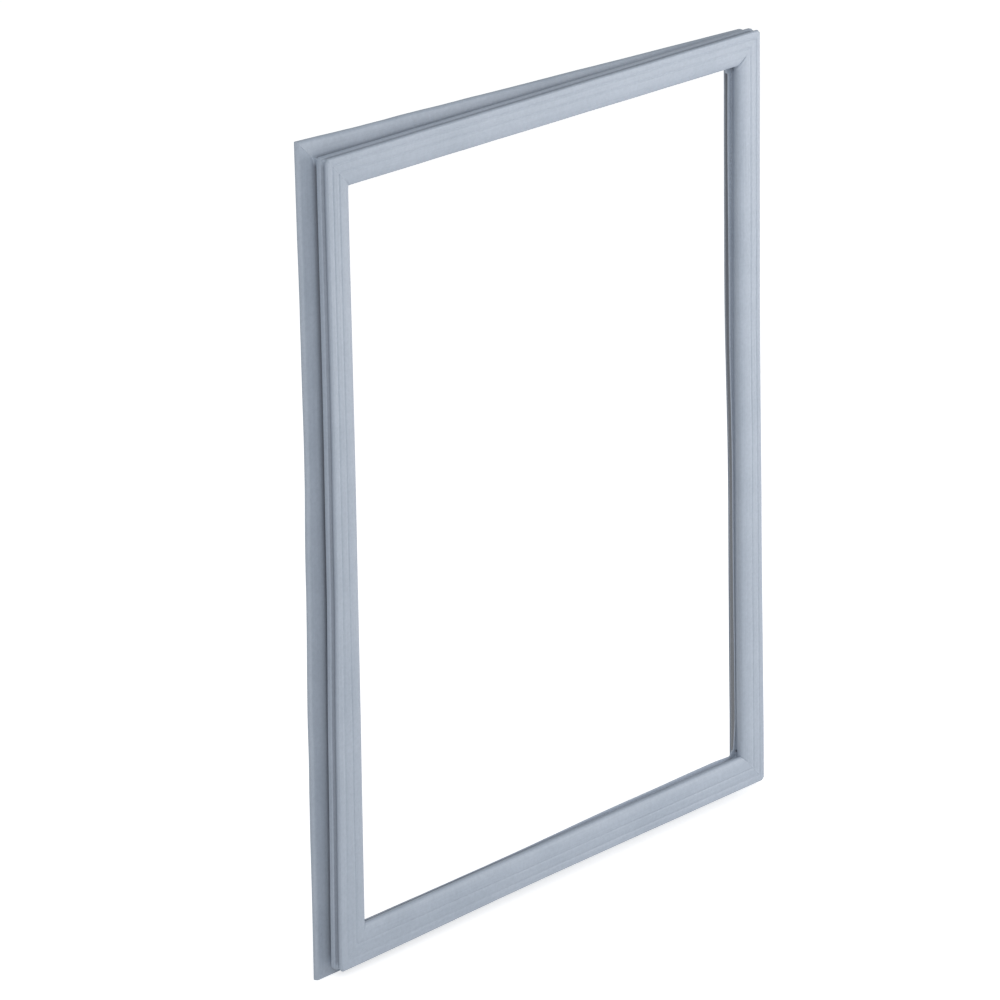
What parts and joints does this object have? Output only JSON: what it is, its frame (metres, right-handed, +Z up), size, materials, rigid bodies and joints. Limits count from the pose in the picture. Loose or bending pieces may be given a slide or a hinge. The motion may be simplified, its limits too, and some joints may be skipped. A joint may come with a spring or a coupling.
{
  "type": "refrigerator door gasket",
  "caption": "rectangular ring of hollow soft PVC section with magnetic strips, mitred and welded corners, bellows, outer flange, inner lip and push-in dart on the back",
  "frame": {"origin": "middle of the opening, in the back plane that lies on the door", "axes": "X to the right as seen from the cabinet, Z up the door, +Y into the door; the sealing face looks along -Y"},
  "size_m": [0.48, 0.0263, 0.6],
  "materials": {
    "soft_pvc": "satin",
    "flexible_magnet": "matte"
  },
  "bodies": {
    "root": {"seal_extrusion": "soft_pvc", "magnet_strip_top": "flexible_magnet", "magnet_strip_bottom": "flexible_magnet", "magnet_strip_left": "flexible_magnet", "magnet_strip_right": "flexible_magnet"}
  },
  "joints": []
}
